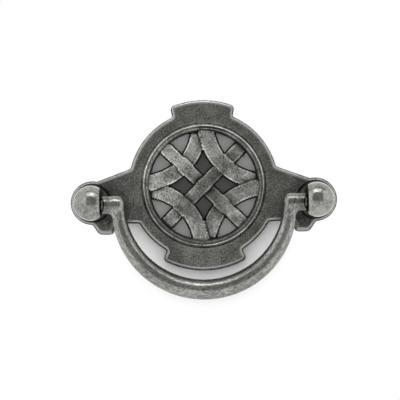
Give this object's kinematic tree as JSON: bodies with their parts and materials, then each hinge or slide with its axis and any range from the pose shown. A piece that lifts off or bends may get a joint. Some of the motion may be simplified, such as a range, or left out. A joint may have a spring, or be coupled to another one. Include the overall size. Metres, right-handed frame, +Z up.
{
  "type": "drop pull",
  "caption": "Cabinet and drawer drop pull: a tapering bail swings from ball posts on a shaped back plate with a domed, pierced woven-strap medallion.",
  "frame": {"origin": "on the mounting face (the plate's flat back), midway between the two mounting holes", "axes": "+X to the right along the line of the mounting holes, +Z up, and the front looks to -Y, so +Y points into the drawer front"},
  "size_m": [0.0766, 0.0125, 0.0568],
  "materials": {
    "plate_pewter": "antiqued pewter: dark patina in the hollows, rubbed bright on the edges, satin",
    "post_pewter": "antiqued pewter: dark patina in the hollows, rubbed bright on the edges, satin",
    "bail_pewter": "antiqued pewter: dark patina in the hollows, rubbed bright on the edges, satin"
  },
  "bodies": {
    "plate": {"backplate": "plate_pewter", "left_post": "post_pewter", "right_post": "post_pewter"},
    "bail": {"bail": "bail_pewter"}
  },
  "joints": [
    {"name": "bail_swing", "type": "hinge", "parent": "plate", "child": "bail", "pos_m": [0, -0.0075, -0.00064], "axis": [-1, 0, 0], "range_deg": [-10, 180]}
  ]
}
